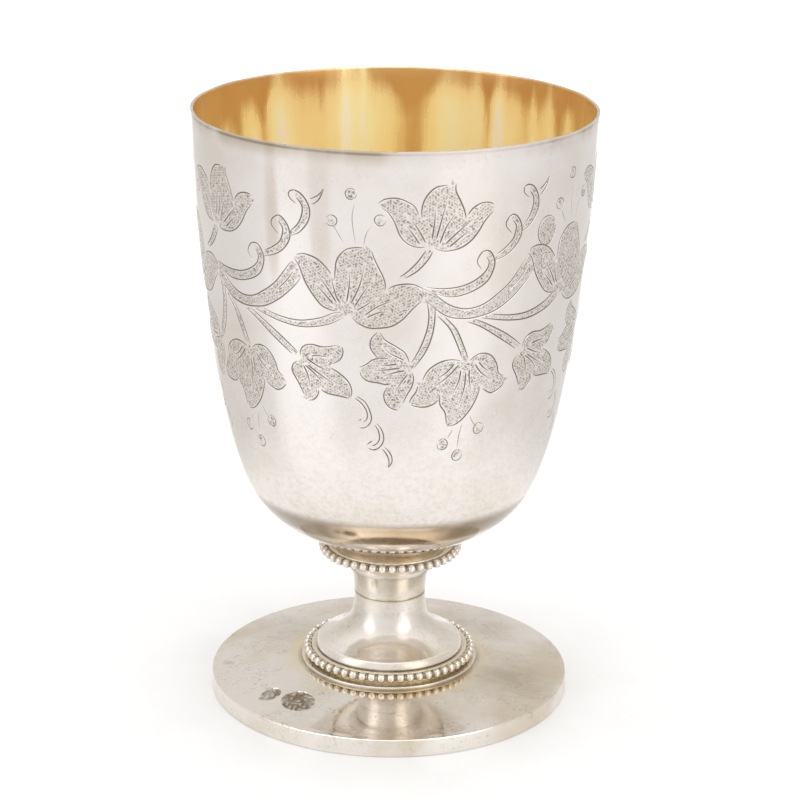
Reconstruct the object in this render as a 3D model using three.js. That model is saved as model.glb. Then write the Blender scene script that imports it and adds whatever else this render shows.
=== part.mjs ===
// A silver chalice: a deep bowl with a gilt inside, on a short stem with two beaded rings and a domed foot.
// Millimetres, +Z up. The origin is at the centre of the foot, at the level of the surface it stands on.
import * as THREE from "three";

// Bowl
const RIM_RADIUS = 42.5;
const BOWL_HEIGHT = 96.15;
const BOWL_WALL = 0.8;
const RIM_WALL = 0.65;
const SEAT_RADIUS = 12.0; // the flat on which the bowl stands on the stem

// Upper stem, from the soldered seam up to the bowl
const UPPER_STEM_HEIGHT = 12.0;
const NECK_RADIUS = 7.75;
const UPPER_FLARE = 0.7; // how much wider the neck is where it meets the lip
const LIP_STEP = 0.4; // how far the lip stands out from the neck
const LIP_SHARE = 0.46; // the lip's lower edge, as a share of the upper stem's height
const UPPER_FLANGE_MARGIN = 1.95; // how far the flange reaches past the bowl's seat
const UPPER_FLANGE_EDGE = 1.75;
const FLANGE_FALL = 0.55; // the flange's top slopes down from the bowl to its edge

// Lower stem, from its flange up to the soldered seam
const DOME_HEIGHT = 12.75;
const DOME_RADIUS = 16.2;
const DOME_UNDERCUT = 0.35; // the dark groove between the dome and its flange
const LOWER_FLANGE_MARGIN = 1.05; // how far the flange reaches past the dome
const LOWER_FLANGE_HEIGHT = 2.35;
const STEM_WALL = 1.1;

// Beaded wires round the two flanges
const UPPER_BEAD_RADIUS = 0.8;
const LOWER_BEAD_RADIUS = 0.85;
const BEAD_PITCH = 2.11; // from one bead to the next, rounded to a whole number of beads
const BEAD_GAP = 0.03; // between a bead and the flange that it is soldered to
const BEAD_WAIST = 0.5; // the wire between two beads, as a share of the bead's radius

// Base ring and foot
const BASE_RING_OVERHANG = 2.05; // how far the base ring reaches past the lower flange
const BASE_RING_THICKNESS = 0.75;
const FOOT_RADIUS = 39.2;
const FOOT_EDGE_HEIGHT = 3.8;
const FOOT_EDGE_ROUND = 0.35;
const FOOT_RISE = 2.25;
const FOOT_CROWN = 1.15; // 1 is a straight cone, and more is a fuller dome
const FOOT_SHEET = 1.1;
const FOOT_EDGE_WALL = 1.3;
const FOOT_SEAT_MARGIN = 0.3; // the foot's flat seat reaches this far past the base ring
const STEM_OPENING_RADIUS = 11.5; // the hole in the foot, open to the hollow stem

// How finely the round shapes are divided
const WIDE_SEGMENTS = 56;
const STEM_SEGMENTS = 36;
const BOWL_ROWS = 11;
const DOME_ROWS = 8;
const FOOT_ROWS = 3;
const NECK_ROWS = 3;
const COVE_ROWS = 3;
const BEAD_SIDES = 6;

// Levels, worked out from the foot up, and the radii that follow from the pieces they fit
const FOOT_SEAT_Z = FOOT_EDGE_HEIGHT + FOOT_RISE;
const LOWER_STEM_Z = FOOT_SEAT_Z + BASE_RING_THICKNESS;
const UPPER_STEM_Z = LOWER_STEM_Z + LOWER_FLANGE_HEIGHT + DOME_HEIGHT;
const BOWL_Z = UPPER_STEM_Z + UPPER_STEM_HEIGHT;
const UPPER_FLANGE_RADIUS = SEAT_RADIUS + UPPER_FLANGE_MARGIN;
const LOWER_FLANGE_RADIUS = DOME_RADIUS + LOWER_FLANGE_MARGIN;
const BASE_RING_RADIUS = LOWER_FLANGE_RADIUS + BASE_RING_OVERHANG;
const STEM_BORE_RADIUS = NECK_RADIUS - STEM_WALL;

// The bowl's outline from the seat up: shares of the way from seat to rim radius, and of the height.
const BOWL_SHAPE = [
  [0, 0],
  [0.308, 0.05],
  [0.48, 0.09],
  [0.622, 0.152],
  [0.733, 0.25],
  [0.823, 0.382],
  [0.902, 0.559],
  [0.967, 0.78],
  [1, 1],
];

// The lower stem's outline from the dome's edge up: shares of the way in to the neck, and of the height.
const DOME_SHAPE = [
  [0, 0],
  [0.04, 0.05],
  [0.201, 0.122],
  [0.497, 0.25],
  [0.734, 0.383],
  [0.905, 0.548],
  [0.988, 0.782],
  [1, 1],
];

const SILVER = new THREE.MeshStandardMaterial({
  color: 0xd9d3ca,
  metalness: 1,
  roughness: 0.22,
});
const BOWL_SILVER = new THREE.MeshStandardMaterial({
  color: 0xdcd6cf,
  metalness: 1,
  roughness: 0.2,
});
const TARNISHED_SILVER = new THREE.MeshStandardMaterial({
  color: 0xc4b79a,
  metalness: 1,
  roughness: 0.3,
});

const point = (radius, height) => new THREE.Vector2(radius, height);

// A smooth outline through shares of a width and a height.
function shapedCurve(shares, radiusFrom, radiusTo, height, rows) {
  const points = shares.map(([across, up]) =>
    point(radiusFrom + (radiusTo - radiusFrom) * across, height * up),
  );
  return new THREE.SplineCurve(points).getPoints(rows);
}

// The same outline moved sideways by a wall's thickness, towards the axis of the piece.
function inset(outline, wall) {
  return outline.map((here, i) => {
    const before = outline[Math.max(i - 1, 0)];
    const after = outline[Math.min(i + 1, outline.length - 1)];
    const along = after.clone().sub(before).normalize();
    return point(here.x - along.y * wall, here.y + along.x * wall);
  });
}

// A body turned round the axis. The outline runs anticlockwise, seen with the axis to its left.
function turned(outline, segments) {
  const geometry = new THREE.LatheGeometry(outline, segments);
  geometry.rotateX(Math.PI / 2);
  return geometry;
}

function ringOutline(outline) {
  return [...outline, outline[0].clone()];
}

function bowlGeometry() {
  const outer = shapedCurve(BOWL_SHAPE, SEAT_RADIUS, RIM_RADIUS, BOWL_HEIGHT, BOWL_ROWS);
  const inner = inset(outer, BOWL_WALL);
  inner[0] = point(SEAT_RADIUS - BOWL_WALL, BOWL_WALL);
  inner[inner.length - 1] = point(RIM_RADIUS - RIM_WALL, BOWL_HEIGHT);
  const outline = [
    point(0, 0),
    ...outer,
    ...inner.reverse(),
    point(0, BOWL_WALL),
  ];
  return turned(outline, WIDE_SEGMENTS);
}

function upperStemGeometry() {
  const lipZ = UPPER_STEM_HEIGHT * LIP_SHARE;
  const edgeTop = UPPER_STEM_HEIGHT - FLANGE_FALL;
  const edgeBottom = edgeTop - UPPER_FLANGE_EDGE;
  const lipRadius = NECK_RADIUS + UPPER_FLARE + LIP_STEP;
  const neck = new THREE.QuadraticBezierCurve(
    point(NECK_RADIUS, 0),
    point(NECK_RADIUS, lipZ / 2),
    point(NECK_RADIUS + UPPER_FLARE, lipZ),
  ).getPoints(NECK_ROWS);
  const cove = new THREE.QuadraticBezierCurve(
    point(lipRadius, lipZ),
    point(lipRadius, edgeBottom),
    point(UPPER_FLANGE_RADIUS, edgeBottom),
  ).getPoints(COVE_ROWS);
  const outline = [
    point(STEM_BORE_RADIUS, 0),
    ...neck,
    ...cove,
    point(UPPER_FLANGE_RADIUS, edgeTop),
    point(SEAT_RADIUS, UPPER_STEM_HEIGHT),
    point(STEM_BORE_RADIUS, UPPER_STEM_HEIGHT),
  ];
  return turned(ringOutline(outline), STEM_SEGMENTS);
}

function lowerStemGeometry() {
  const undercut = point(DOME_RADIUS - DOME_UNDERCUT, LOWER_FLANGE_HEIGHT);
  const dome = shapedCurve(DOME_SHAPE, DOME_RADIUS, NECK_RADIUS, DOME_HEIGHT - DOME_UNDERCUT, DOME_ROWS);
  dome.forEach((p) => (p.y += LOWER_FLANGE_HEIGHT + DOME_UNDERCUT));
  const inside = inset(dome, STEM_WALL).filter((p) => p.x < STEM_OPENING_RADIUS);
  inside[inside.length - 1] = point(STEM_BORE_RADIUS, LOWER_FLANGE_HEIGHT + DOME_HEIGHT);
  const outline = [
    point(STEM_OPENING_RADIUS, 0),
    point(LOWER_FLANGE_RADIUS, 0),
    point(LOWER_FLANGE_RADIUS, LOWER_FLANGE_HEIGHT),
    undercut,
    ...dome,
    ...inside.reverse(),
    point(STEM_OPENING_RADIUS, inside[inside.length - 1].y),
  ];
  return turned(ringOutline(outline), STEM_SEGMENTS);
}

function baseRingGeometry() {
  const outline = [
    point(STEM_OPENING_RADIUS, 0),
    point(BASE_RING_RADIUS, 0),
    point(BASE_RING_RADIUS, BASE_RING_THICKNESS),
    point(STEM_OPENING_RADIUS, BASE_RING_THICKNESS),
  ];
  return turned(ringOutline(outline), STEM_SEGMENTS);
}

// The foot's top, from its flat seat out to its edge.
function footTop(radius, edgeRadius, seatRadius) {
  const share = (radius - seatRadius) / (edgeRadius - seatRadius);
  return FOOT_SEAT_Z - FOOT_RISE * share ** FOOT_CROWN;
}

function footGeometry() {
  const seatRadius = BASE_RING_RADIUS + FOOT_SEAT_MARGIN;
  const edgeRadius = FOOT_RADIUS - FOOT_EDGE_ROUND;
  const innerRadius = FOOT_RADIUS - FOOT_EDGE_WALL;
  const radii = Array.from(
    { length: FOOT_ROWS + 1 },
    (_, i) => edgeRadius + ((seatRadius - edgeRadius) * i) / FOOT_ROWS,
  );
  const top = radii.map((radius) => point(radius, footTop(radius, edgeRadius, seatRadius)));
  const under = top.slice(1).map((p) => point(p.x, p.y - FOOT_SHEET));
  const outline = [
    point(innerRadius, 0),
    point(FOOT_RADIUS, 0),
    point(FOOT_RADIUS, FOOT_EDGE_HEIGHT - FOOT_EDGE_ROUND),
    ...top,
    point(STEM_OPENING_RADIUS, FOOT_SEAT_Z),
    point(STEM_OPENING_RADIUS, FOOT_SEAT_Z - FOOT_SHEET),
    ...under.reverse(),
    point(innerRadius, FOOT_EDGE_HEIGHT - FOOT_SHEET),
  ];
  return turned(ringOutline(outline), WIDE_SEGMENTS);
}

// A beaded wire: a ring whose section swells to a bead and narrows to a waist, over and over.
function beadRingGeometry(ringRadius, beadRadius, beads) {
  const swell = [BEAD_WAIST, 1, 1];
  const sections = beads * swell.length;
  const vertices = [];
  const indices = [];
  for (let s = 0; s < sections; s++) {
    const round = (2 * Math.PI * s) / sections;
    const radius = beadRadius * swell[s % swell.length];
    for (let side = 0; side < BEAD_SIDES; side++) {
      const turn = (2 * Math.PI * side) / BEAD_SIDES;
      const out = ringRadius + radius * Math.cos(turn);
      vertices.push(out * Math.cos(round), out * Math.sin(round), radius * Math.sin(turn));
      const here = s * BEAD_SIDES + side;
      const beside = s * BEAD_SIDES + ((side + 1) % BEAD_SIDES);
      const ahead = ((s + 1) % sections) * BEAD_SIDES + side;
      const aheadBeside = ((s + 1) % sections) * BEAD_SIDES + ((side + 1) % BEAD_SIDES);
      indices.push(here, ahead, beside, ahead, aheadBeside, beside);
    }
  }
  const geometry = new THREE.BufferGeometry();
  geometry.setAttribute("position", new THREE.Float32BufferAttribute(vertices, 3));
  geometry.setIndex(indices);
  geometry.computeVertexNormals();
  return geometry;
}

const chalice = new THREE.Group();

function addPiece(name, geometry, material, z) {
  const mesh = new THREE.Mesh(geometry, material);
  mesh.name = name;
  mesh.position.z = z;
  chalice.add(mesh);
}

function addBeadRing(name, flangeRadius, beadRadius, z) {
  const ringRadius = flangeRadius + BEAD_GAP + beadRadius;
  const beads = Math.round((2 * Math.PI * ringRadius) / BEAD_PITCH);
  addPiece(name, beadRingGeometry(ringRadius, beadRadius, beads), TARNISHED_SILVER, z);
}

// A bead ring sits halfway up the edge of the upper flange, and on the upper part of the lower one's edge.
const UPPER_BEADS_Z = BOWL_Z - FLANGE_FALL - UPPER_FLANGE_EDGE / 2;
const LOWER_BEADS_Z = LOWER_STEM_Z + LOWER_FLANGE_HEIGHT - LOWER_BEAD_RADIUS;

addPiece("bowl", bowlGeometry(), BOWL_SILVER, BOWL_Z);
addPiece("upper_stem", upperStemGeometry(), SILVER, UPPER_STEM_Z);
addPiece("lower_stem", lowerStemGeometry(), SILVER, LOWER_STEM_Z);
addPiece("base_ring", baseRingGeometry(), TARNISHED_SILVER, FOOT_SEAT_Z);
addPiece("foot", footGeometry(), SILVER, 0);
addBeadRing("upper_bead_ring", UPPER_FLANGE_RADIUS, UPPER_BEAD_RADIUS, UPPER_BEADS_Z);
addBeadRing("lower_bead_ring", LOWER_FLANGE_RADIUS, LOWER_BEAD_RADIUS, LOWER_BEADS_Z);

export default chalice;
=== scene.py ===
"""A silver chalice with an engraved vine, a gilt inside, a beaded stem and a round foot.

Sizes are in millimetres here and become metres where a mesh is made. The axis is Z, the origin is at the
centre of the foot on the surface it stands on, and an angle of zero faces the camera, along -Y.
"""
import math
import random

import bpy
import numpy as np
from mathutils import Matrix
from mathutils.geometry import delaunay_2d_cdt
from mathutils.kdtree import KDTree


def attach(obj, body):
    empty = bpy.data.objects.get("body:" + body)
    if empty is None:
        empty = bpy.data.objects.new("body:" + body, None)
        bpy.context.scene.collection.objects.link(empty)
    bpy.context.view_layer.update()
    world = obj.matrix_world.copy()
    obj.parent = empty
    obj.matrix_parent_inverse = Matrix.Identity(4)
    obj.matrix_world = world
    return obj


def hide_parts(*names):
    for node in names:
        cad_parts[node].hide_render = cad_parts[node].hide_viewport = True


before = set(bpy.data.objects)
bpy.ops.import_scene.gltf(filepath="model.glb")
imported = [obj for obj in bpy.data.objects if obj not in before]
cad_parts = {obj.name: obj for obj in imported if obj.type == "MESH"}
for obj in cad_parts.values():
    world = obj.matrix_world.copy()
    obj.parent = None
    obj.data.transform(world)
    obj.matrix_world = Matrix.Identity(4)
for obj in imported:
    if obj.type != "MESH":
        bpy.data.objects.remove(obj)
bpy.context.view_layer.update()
MM = 0.001
TAU = 2 * math.pi

# The bowl
RIM_RADIUS = 42.5
BOWL_HEIGHT = 96.15
BOWL_WALL = 0.8
RIM_WALL = 0.65
SEAT_RADIUS = 12.0
BOWL_Z = 33.9
SEAT_STEPS = 72
RIM_STEPS = 288
UNEVEN_REACH = 3.0  # how far below the rim its unevenness starts
BOWL_SHAPE = [  # shares of the way out from the seat to the rim, and of the height
    (0, 0), (0.308, 0.05), (0.48, 0.09), (0.622, 0.152), (0.733, 0.25),
    (0.823, 0.382), (0.902, 0.559), (0.967, 0.78), (1, 1),
]

# The upper stem
UPPER_STEM_STEPS = 160
UPPER_STEM_Z = 21.9
UPPER_STEM_HEIGHT = 12.0
NECK_RADIUS = 7.75
UPPER_FLARE = 0.7
LIP_STEP = 0.4
LIP_SHARE = 0.46
UPPER_FLANGE_RADIUS = 13.95
UPPER_FLANGE_EDGE = 1.75
FLANGE_FALL = 0.55
STEM_BORE_RADIUS = 6.65

# The lower stem
LOWER_STEM_STEPS = 480
LOWER_STEM_Z = 6.8
DOME_HEIGHT = 12.75
DOME_RADIUS = 16.2
DOME_UNDERCUT = 0.35
LOWER_FLANGE_RADIUS = 17.25
LOWER_FLANGE_HEIGHT = 2.35
STEM_OPENING_RADIUS = 11.5
DOME_SHAPE = [  # shares of the way in from the dome's edge to the neck, and of the height
    (0, 0), (0.03, 0.06), (0.085, 0.114), (0.2, 0.15), (0.497, 0.256),
    (0.734, 0.385), (0.905, 0.548), (0.988, 0.782), (1, 1),
]

# The beaded wires
BEAD_PITCH = 2.11
BEAD_GAP = 0.03
UPPER_BEAD_RADIUS = 0.8
LOWER_BEAD_RADIUS = 0.85
UPPER_BEADS_Z = 32.475
LOWER_BEADS_Z = 8.3
BEAD_WAIST = 0.45
BEAD_RIDGE = 0.7
UPPER_BEAD_SIZE = 0.98  # the round beads' own radius, a little fuller than the ring they replace
LOWER_BEAD_SIZE = 1.0
UPPER_BEAD_SHIFT = (0.06, -0.08)  # inward and upward, from where that ring is
LOWER_BEAD_SHIFT = (0.08, 0.1)

# The base ring and the foot
BASE_RING_STEPS = 256
BASE_RING_Z = 6.05
BASE_RING_RADIUS = 19.3
BASE_RING_THICKNESS = 0.75
FOOT_RADIUS = 39.2
FOOT_EDGE_HEIGHT = 3.8
FOOT_RISE = 2.25
FOOT_CROWN = 1.15
FOOT_SEAT_RADIUS = 19.6
FOOT_SHEET = 1.1
FOOT_EDGE_WALL = 1.3
FOOT_EDGE_ROUND = 0.35
FOOT_TOP_EDGE = FOOT_RADIUS - FOOT_EDGE_ROUND

# The engraving
FRIEZE_RADIUS = 41.2  # arc lengths along the frieze are measured at this radius
FRIEZE_HEIGHT = 66.0  # above the seat, where the flattened plan has that radius
GROOVE_HALF = 0.205
GROOVE_DEPTH = 0.11
GROOVE_ROWS = ((0.0, 1.0, 0.95), (0.5, 0.62, 0.7), (1.0, 0.0, 0.0))  # shares of half width, depth, darkness
STROKE_STEP = 0.62
SEARCH_STEP = 0.15
STIPPLE_STEP = 0.355
STIPPLE_ROWS = 0.87  # from one row to the next, as a share of the step
STIPPLE_JITTER = 0.15
STIPPLE_DEPTH = 0.045
STIPPLE_MARGIN = 0.07  # left between a groove and the dots beside it
PLAIN_STEP = 1.75
PLAIN_FROM_GROOVE = 0.55
PLAIN_FROM_STIPPLE = 0.5

rng = random.Random(7)


def lerp(a, b, t):
    return a + (b - a) * t


def hump(value, middle, width):
    """One at the middle, falling smoothly to none on both sides."""
    return np.exp(-(((value - middle) / width) ** 2))


def spline(points, steps):
    """A smooth curve through the points, with the given number of steps between each two."""
    pts = [np.array(p, float) for p in points]
    out = []
    for i in range(len(pts) - 1):
        p0 = pts[max(i - 1, 0)]
        p1, p2 = pts[i], pts[i + 1]
        p3 = pts[min(i + 2, len(pts) - 1)]
        v0, v1 = (p2 - p0) / 2, (p3 - p1) / 2
        for k in range(steps):
            t = k / steps
            cubic = (2 * p1 - 2 * p2 + v0 + v1) * t**3
            square = (-3 * p1 + 3 * p2 - 2 * v0 - v1) * t**2
            out.append(cubic + square + v0 * t + p1)
    out.append(pts[-1])
    return np.array(out)


def shaped(shares, radius_from, radius_to, height, steps):
    points = [(lerp(radius_from, radius_to, a), height * up) for a, up in shares]
    return spline(points, steps)


def bezier(a, b, c, steps):
    t = np.linspace(0, 1, steps + 1)[:, None]
    a, b, c = (np.array(p, float) for p in (a, b, c))
    return (1 - t) ** 2 * a + 2 * t * (1 - t) * b + t**2 * c


def corner(a, b, c, reach, steps=4):
    """The corner at b between a and c, rounded from reach before it to reach after it."""
    a, b, c = (np.array(p, float) for p in (a, b, c))
    into = b - (b - a) / np.linalg.norm(b - a) * reach
    away = b + (c - b) / np.linalg.norm(c - b) * reach
    return bezier(into, b, away, steps)


def new_object(name, verts, faces, materials, indices=None):
    mesh = bpy.data.meshes.new(name)
    mesh.from_pydata((np.asarray(verts) * MM).tolist(), [], faces)
    for material in materials:
        mesh.materials.append(material)
    if indices is not None:
        mesh.polygons.foreach_set("material_index", indices)
    mesh.polygons.foreach_set("use_smooth", [True] * len(mesh.polygons))
    mesh.update()
    obj = bpy.data.objects.new(name, mesh)
    bpy.context.scene.collection.objects.link(obj)
    return obj


def set_attribute(obj, name, values):
    layer = obj.data.attributes.new(name, "FLOAT", "POINT")
    layer.data.foreach_set("value", np.asarray(values, np.float32))


def polar(verts):
    """Each point's angle from the front, and its distance from the axis."""
    return np.arctan2(verts[:, 0], -verts[:, 1]), np.hypot(verts[:, 0], verts[:, 1])


def turned_mesh(outline, angles):
    """The grid of a closed outline turned round the axis. The outline's last point joins its first."""
    outline = np.asarray(outline)
    rows, count = len(outline), len(angles)
    sines, cosines = np.sin(angles), np.cos(angles)
    verts = np.empty((count, rows, 3))
    verts[:, :, 0] = sines[:, None] * outline[None, :, 0]
    verts[:, :, 1] = -cosines[:, None] * outline[None, :, 0]
    verts[:, :, 2] = outline[None, :, 1]
    faces = []
    for i in range(count):
        j = (i + 1) % count
        for k in range(rows):
            m = (k + 1) % rows
            faces.append((i * rows + k, j * rows + k, j * rows + m, i * rows + m))
    return verts.reshape(-1, 3), faces


def even_angles(count):
    return np.arange(count) * TAU / count


def finish_piece(obj, node, sharp=None):
    if sharp is not None:
        obj.data.set_sharp_from_angle(angle=math.radians(sharp))
    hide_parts(node)
    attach(obj, "root")


def finish_silver(obj, node, grime_and_shade, warm):
    set_attribute(obj, "grime_and_shade", np.clip(grime_and_shade, 0, 1))
    set_attribute(obj, "warm", np.clip(warm, 0, 1))
    finish_piece(obj, node, 40)


# Materials


class Graph:
    """A small helper that adds and links nodes."""

    def __init__(self, tree):
        self.tree = tree

    def add(self, kind, **settings):
        node = self.tree.nodes.new(kind)
        for key, value in settings.items():
            setattr(node, key, value)
        return node

    def link(self, value, socket):
        if isinstance(value, bpy.types.NodeSocket):
            self.tree.links.new(value, socket)
        else:
            socket.default_value = value

    def ramp(self, value, low, high, start=0.0, end=1.0):
        node = self.add("ShaderNodeMapRange", interpolation_type="SMOOTHSTEP")
        self.link(value, node.inputs["Value"])
        node.inputs["From Min"].default_value = low
        node.inputs["From Max"].default_value = high
        node.inputs["To Min"].default_value = start
        node.inputs["To Max"].default_value = end
        return node.outputs["Result"]

    def mix(self, factor, a, b):
        node = self.add("ShaderNodeMix", data_type="RGBA")
        self.link(factor, node.inputs["Factor"])
        self.link(a, node.inputs["A"])
        self.link(b, node.inputs["B"])
        return node.outputs["Result"]

    def vector(self, operation, a, b=None, output="Vector"):
        node = self.add("ShaderNodeVectorMath", operation=operation)
        self.link(a, node.inputs[0])
        if b is not None:
            self.link(b, node.inputs[1])
        return node.outputs[output]


class Nodes(Graph):
    """The nodes of one material."""

    def __init__(self, name):
        self.material = bpy.data.materials.new(name)
        self.material.use_nodes = True
        super().__init__(self.material.node_tree)
        self.shader = self.tree.nodes["Principled BSDF"]
        self.place = self.add("ShaderNodeTexCoord").outputs["Object"]

    def math(self, operation, a, b):
        node = self.add("ShaderNodeMath", operation=operation)
        self.link(a, node.inputs[0])
        self.link(b, node.inputs[1])
        return node.outputs[0]

    def times(self, a, b):
        return self.math("MULTIPLY", a, b)

    def plus(self, a, b):
        return self.math("ADD", a, b)

    def noise(self, scale, detail=3.0, stretch=None, rough=0.5):
        place = self.place if stretch is None else self.stretched(stretch)
        node = self.add("ShaderNodeTexNoise")
        self.link(place, node.inputs["Vector"])
        node.inputs["Scale"].default_value = scale
        node.inputs["Detail"].default_value = detail
        node.inputs["Roughness"].default_value = rough
        return node.outputs["Fac"]

    def stretched(self, scale):
        node = self.add("ShaderNodeMapping")
        self.link(self.place, node.inputs["Vector"])
        node.inputs["Scale"].default_value = scale
        return node.outputs["Vector"]

    def attribute(self, name):
        return self.add("ShaderNodeAttribute", attribute_name=name).outputs["Fac"]

    def height(self):
        node = self.add("ShaderNodeSeparateXYZ")
        self.link(self.place, node.inputs[0])
        return node.outputs["Z"]

    def bump(self, height, distance, strength, normal=None):
        node = self.add("ShaderNodeBump")
        self.link(height, node.inputs["Height"])
        node.inputs["Distance"].default_value = distance
        node.inputs["Strength"].default_value = strength
        if normal is not None:
            self.link(normal, node.inputs["Normal"])
        return node.outputs["Normal"]

    def finish(self, color, roughness, normal, metallic=1.0):
        self.shader.inputs["Metallic"].default_value = metallic
        self.link(color, self.shader.inputs["Base Color"])
        self.link(roughness, self.shader.inputs["Roughness"])
        self.link(normal, self.shader.inputs["Normal"])
        return self.material


BRIGHT_SILVER = (0.875, 0.83, 0.805, 1)
WARM_SILVER = (0.80, 0.735, 0.665, 1)
STEM_SILVER = (0.84, 0.79, 0.735, 1)
STAINED_SILVER = (0.68, 0.59, 0.47, 1)
YELLOWED_SILVER = (0.78, 0.67, 0.45, 1)
# Dark and mid browns used both for tarnish and smudges and for painted shade and painted reflection.
TARNISH_AND_SHADE = (0.18, 0.135, 0.085, 1)
SMUDGE_AND_REFLECTION = (0.50, 0.41, 0.30, 1)
ENGRAVED_SILVER = (0.08, 0.06, 0.04, 1)
MATTED_SILVER = (0.84, 0.785, 0.71, 1)
GOLD = (1.0, 0.85, 0.47, 1)
# Painted sheen, painted glint and painted shade on the gilding.
PAINTED_SHEEN_GOLD = (1.0, 0.96, 0.62, 1)
PAINTED_GLINT_GOLD = (1.0, 1.0, 0.92, 1)
PAINTED_SHADE_GOLD = (0.64, 0.38, 0.14, 1)


# Heights in metres between which each band of the bowl goes from none to full: the smears and the line at the
# rim and the dust low down are wear, and the band over the seat is a painted reflection of the foot.
RIM_SMEARS = (0.1262, 0.1299)
RIM_LINE = ((0.1290, 0.1295), (0.1299, 0.1296))
LOW_DUST = (0.088, 0.044)
FOOT_REFLECTION_BAND = ((0.0495, 0.0465), (0.0422, 0.0438))


def worn_silver(nodes, clean, aged, spot_share, rough_from=0.06):
    """The colour, roughness and fine dents that all the silver shares."""
    clouds = nodes.ramp(nodes.noise(45, 5, rough=0.6), 0.38, 0.72)
    color = nodes.mix(clouds, clean, aged)
    grain = nodes.ramp(nodes.noise(1500, 2, rough=0.7), 0.48, 0.75)
    blotches = nodes.ramp(nodes.noise(160, 4, rough=0.65), 0.42, 0.7)
    speckle = nodes.times(grain, blotches)
    color = nodes.mix(nodes.times(speckle, spot_share), color, TARNISH_AND_SHADE)
    scratches = nodes.noise(900, 2, stretch=(1, 1, 0.06))
    cross = nodes.noise(700, 2, stretch=(0.08, 0.08, 1))
    dull = nodes.ramp(clouds, 0, 1, rough_from, rough_from + 0.08)
    rough = nodes.plus(dull, nodes.ramp(scratches, 0.4, 0.9, 0, 0.06))
    waves = nodes.bump(nodes.noise(30, 1), 0.0009, 0.35)
    fine = nodes.bump(nodes.plus(scratches, cross), 0.00001, 0.35, waves)
    return color, rough, fine


def silver_material(name, clean, aged, spot_share, rough_from=0.06, metallic=1.0):
    nodes = Nodes(name)
    color, rough, normal = worn_silver(nodes, clean, aged, spot_share, rough_from)
    color = nodes.mix(nodes.attribute("warm"), color, YELLOWED_SILVER)
    # The darkening attribute holds both real tarnish and painted shade; both mix in the same dark brown.
    patchy = nodes.ramp(nodes.noise(300, 3), 0.25, 0.6, 0.55, 1.0)
    grime_and_shade = nodes.times(nodes.attribute("grime_and_shade"), patchy)
    color = nodes.mix(grime_and_shade, color, TARNISH_AND_SHADE)
    rough = nodes.plus(rough, nodes.times(grime_and_shade, 0.3))
    return nodes.finish(color, rough, normal, metallic)


def height_band(nodes, height, from_one_side, from_other):
    return nodes.times(nodes.ramp(height, *from_one_side), nodes.ramp(height, *from_other))


def engraved_material():
    nodes = Nodes("engraved_silver")
    color, rough, normal = worn_silver(nodes, BRIGHT_SILVER, WARM_SILVER, 0.12)
    height = nodes.height()
    rim_band = nodes.ramp(height, *RIM_SMEARS)
    patches = nodes.ramp(nodes.noise(55, 4, stretch=(1, 1, 0.5)), 0.4, 0.62)

    def patchy_tint(color, where, least, most, tint):
        return nodes.mix(nodes.times(where, nodes.ramp(patches, 0, 1, least, most)), color, tint)

    color = patchy_tint(color, rim_band, 0.15, 0.75, SMUDGE_AND_REFLECTION)
    color = patchy_tint(color, height_band(nodes, height, *RIM_LINE), 0.15, 0.6, TARNISH_AND_SHADE)
    low_band = nodes.ramp(height, *LOW_DUST)
    dusty = nodes.ramp(nodes.noise(900, 3, rough=0.7), 0.4, 0.7, 0.12, 0.42)
    color = nodes.mix(nodes.times(low_band, dusty), color, SMUDGE_AND_REFLECTION)
    # A painted reflection of the foot: a patchy brown and dark band just above the seat.
    painted_foot_reflection = height_band(nodes, height, *FOOT_REFLECTION_BAND)
    color = patchy_tint(color, painted_foot_reflection, 0.5, 0.75, SMUDGE_AND_REFLECTION)
    color = patchy_tint(color, painted_foot_reflection, 0.58, 0.74, TARNISH_AND_SHADE)
    color = nodes.mix(nodes.times(nodes.attribute("matte"), 0.7), color, MATTED_SILVER)
    color = nodes.mix(nodes.attribute("cut"), color, ENGRAVED_SILVER)
    rough = nodes.plus(rough, nodes.times(nodes.attribute("matte"), 0.15))
    return nodes.finish(color, rough, normal)


def gilt_material():
    nodes = Nodes("gilt")
    painted_sheen = nodes.attribute("painted_sheen")
    drift = nodes.ramp(nodes.noise(90, 3, stretch=(1, 1, 0.35)), 0.3, 0.7, -0.25, 0.25)
    painted_sheen = nodes.plus(painted_sheen, drift)
    brushed = nodes.ramp(nodes.noise(420, 4, stretch=(1, 1, 0.03), rough=0.6), 0.3, 0.7, -0.13, 0.13)
    painted_sheen = nodes.plus(painted_sheen, brushed)
    # Painted sheen, glints and shade follow the streaks, over random tone from the noise.
    color = nodes.mix(nodes.ramp(painted_sheen, 0.0, 1.0), GOLD, PAINTED_SHEEN_GOLD)
    color = nodes.mix(nodes.ramp(painted_sheen, 0.9, 1.8), color, PAINTED_GLINT_GOLD)
    color = nodes.mix(nodes.ramp(painted_sheen, 0.15, -1.0), color, PAINTED_SHADE_GOLD)
    rough = nodes.ramp(painted_sheen, -0.8, 0.8, 0.24, 0.38)
    waves = nodes.bump(nodes.noise(45, 1, stretch=(1, 1, 0.3)), 0.0008, 0.5)
    fine = nodes.bump(nodes.noise(900, 2, stretch=(1, 1, 0.1)), 0.00001, 0.5, waves)
    return nodes.finish(color, rough, fine, 0.62)


FOOT_SILVER = silver_material("foot_silver", STEM_SILVER, STAINED_SILVER, 0.65, metallic=0.93)
SILVER = silver_material("worn_silver", STEM_SILVER, STAINED_SILVER, 0.5, rough_from=0.13, metallic=0.75)
BEAD_SILVER = silver_material("bead_silver", BRIGHT_SILVER, WARM_SILVER, 0.3)
ENGRAVED = engraved_material()
GILT = gilt_material()


# The vine's drawing. A leaf is drawn from its base in parts of a sketch unit, and placed by its base's arc
# and height. Its edge strokes run round it in order, so together they also bound the matted ground inside.

UNIT_PARTS = 20

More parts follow.
